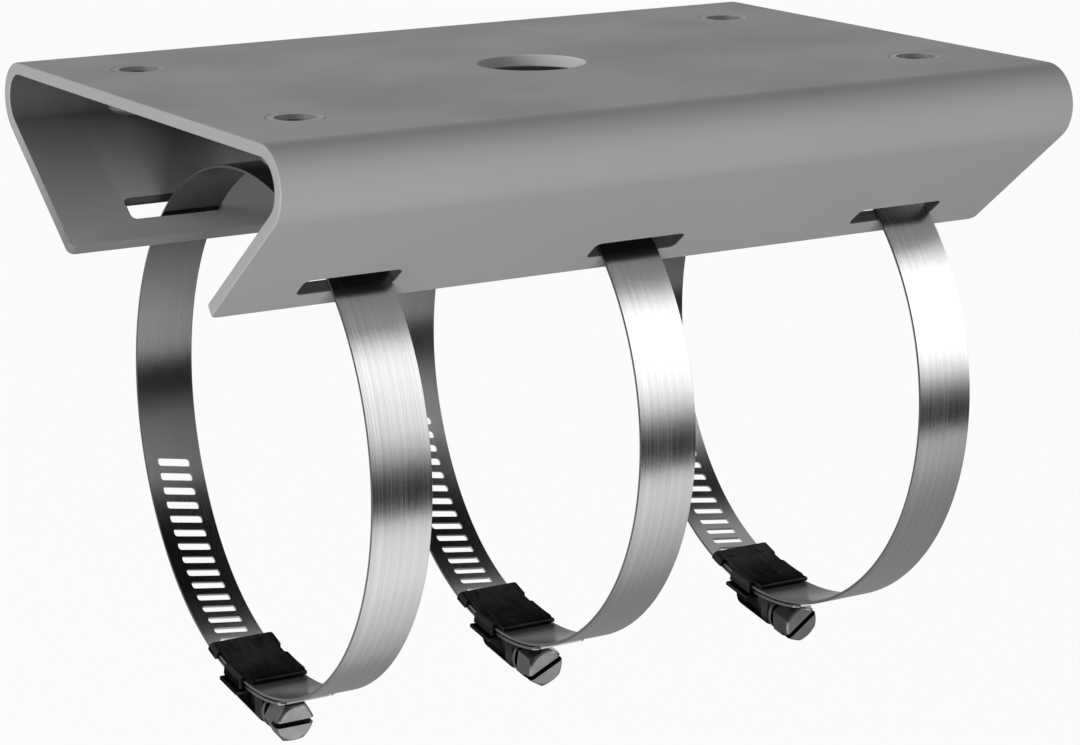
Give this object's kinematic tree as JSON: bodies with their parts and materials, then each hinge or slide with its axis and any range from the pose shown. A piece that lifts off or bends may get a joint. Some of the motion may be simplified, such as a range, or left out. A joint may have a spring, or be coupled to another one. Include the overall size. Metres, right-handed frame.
{
  "type": "camera pole mount bracket",
  "caption": "Folded steel channel that straps to a pole with worm-drive band clamps, with a cable hole and threaded fixings for a camera on its flat face.",
  "frame": {"origin": "on the common axis of the three band loops, which is the pole's axis, midway along the plate", "axes": "+X along the plate and the pole, +Y to the flange away from the camera that took the picture, +Z out of the plate's flat outer face"},
  "size_m": [0.176, 0.128, 0.1338],
  "materials": {
    "plate_paint": "satin grey coat",
    "zinc_plate": "bright zinc plate",
    "stainless_band": "bright rolled stainless",
    "pressed_stainless": "pressed stainless",
    "screw_steel": "machined steel"
  },
  "bodies": {
    "bracket": {"bracket_plate": "plate_paint", "clinch_nut_1": "zinc_plate", "clinch_nut_2": "zinc_plate", "clinch_nut_3": "zinc_plate", "clinch_nut_4": "zinc_plate"},
    "clamp_1": {"clamp_1_band": "stainless_band", "clamp_1_saddle": "pressed_stainless", "clamp_1_housing": "pressed_stainless"},
    "screw_1": {"clamp_1_screw": "screw_steel"},
    "clamp_2": {"clamp_2_band": "stainless_band", "clamp_2_saddle": "pressed_stainless", "clamp_2_housing": "pressed_stainless"},
    "screw_2": {"clamp_2_screw": "screw_steel"},
    "clamp_3": {"clamp_3_band": "stainless_band", "clamp_3_saddle": "pressed_stainless", "clamp_3_housing": "pressed_stainless"},
    "screw_3": {"clamp_3_screw": "screw_steel"}
  },
  "joints": [
    {"name": "clamp_1_turn", "type": "hinge", "parent": "bracket", "child": "clamp_1", "pos_m": [-0.0594, 0, 0.00007], "axis": [1, 0, 0], "range_deg": [-90, 90]},
    {"name": "screw_1_spin", "type": "hinge", "parent": "clamp_1", "child": "screw_1", "pos_m": [-0.0594, 0.00906, -0.05712], "axis": [0, -0.9877, -0.1564], "continuous": true},
    {"name": "clamp_2_turn", "type": "hinge", "parent": "bracket", "child": "clamp_2", "pos_m": [-0.0008, 0, 0.00062], "axis": [1, 0, 0], "range_deg": [-90, 90]},
    {"name": "screw_2_spin", "type": "hinge", "parent": "clamp_2", "child": "screw_2", "pos_m": [-0.0008, 0.00899, -0.05617], "axis": [0, -0.9877, -0.1564], "continuous": true},
    {"name": "clamp_3_turn", "type": "hinge", "parent": "bracket", "child": "clamp_3", "pos_m": [0.0656, 0, -0.00069], "axis": [1, 0, 0], "range_deg": [-90, 90]},
    {"name": "screw_3_spin", "type": "hinge", "parent": "clamp_3", "child": "screw_3", "pos_m": [0.0656, 0.01015, -0.05825], "axis": [0, -0.9848, -0.1736], "continuous": true}
  ]
}
